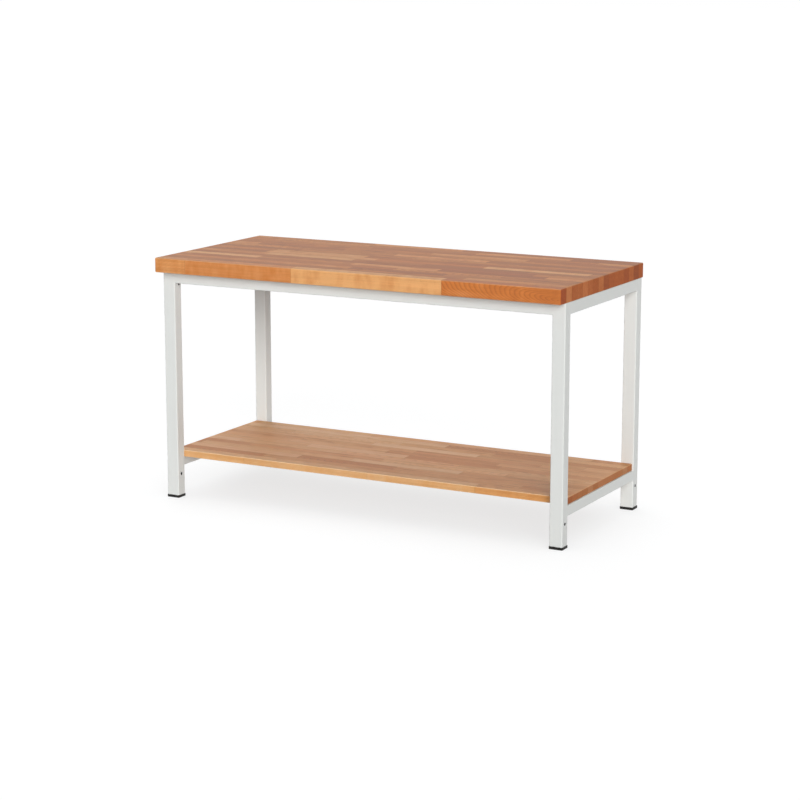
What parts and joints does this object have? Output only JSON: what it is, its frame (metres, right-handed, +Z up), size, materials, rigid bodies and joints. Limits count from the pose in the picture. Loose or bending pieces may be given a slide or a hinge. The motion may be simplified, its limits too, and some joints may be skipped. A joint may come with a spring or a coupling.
{
  "type": "assembly table",
  "caption": "Free-standing assembly table: thick glued beech worktop on a welded rectangular-tube frame, with a full-width beech shelf near the floor and plastic foot caps.",
  "frame": {"origin": "on the floor, under the middle of the worktop", "axes": "+X along the table to the right, +Y from the front edge to the rear edge, +Z up"},
  "size_m": [1.5, 0.67, 0.84],
  "materials": {
    "beech_worktop": "oiled, glued staves",
    "beech_shelf": "oiled, glued staves",
    "frame_paint": "light grey powder coat",
    "foot_plastic": "moulded black",
    "screw_zinc": "bright zinc"
  },
  "bodies": {
    "root": {"worktop": "beech_worktop", "shelf": "beech_shelf", "leg_front_left": "frame_paint", "leg_front_right": "frame_paint", "leg_rear_left": "frame_paint", "leg_rear_right": "frame_paint", "top_rail_front": "frame_paint", "top_rail_rear": "frame_paint", "top_rail_left": "frame_paint", "top_rail_right": "frame_paint", "lower_rail_left": "frame_paint", "lower_rail_right": "frame_paint", "corner_plate_front_left": "frame_paint", "corner_plate_front_right": "frame_paint", "corner_plate_rear_left": "frame_paint", "corner_plate_rear_right": "frame_paint", "middle_tab_front": "frame_paint", "middle_tab_rear": "frame_paint", "foot_front_left": "foot_plastic", "foot_front_right": "foot_plastic", "foot_rear_left": "foot_plastic", "foot_rear_right": "foot_plastic", "worktop_screws": "screw_zinc", "shelf_screws_left": "screw_zinc", "shelf_screws_right": "screw_zinc"}
  },
  "joints": []
}
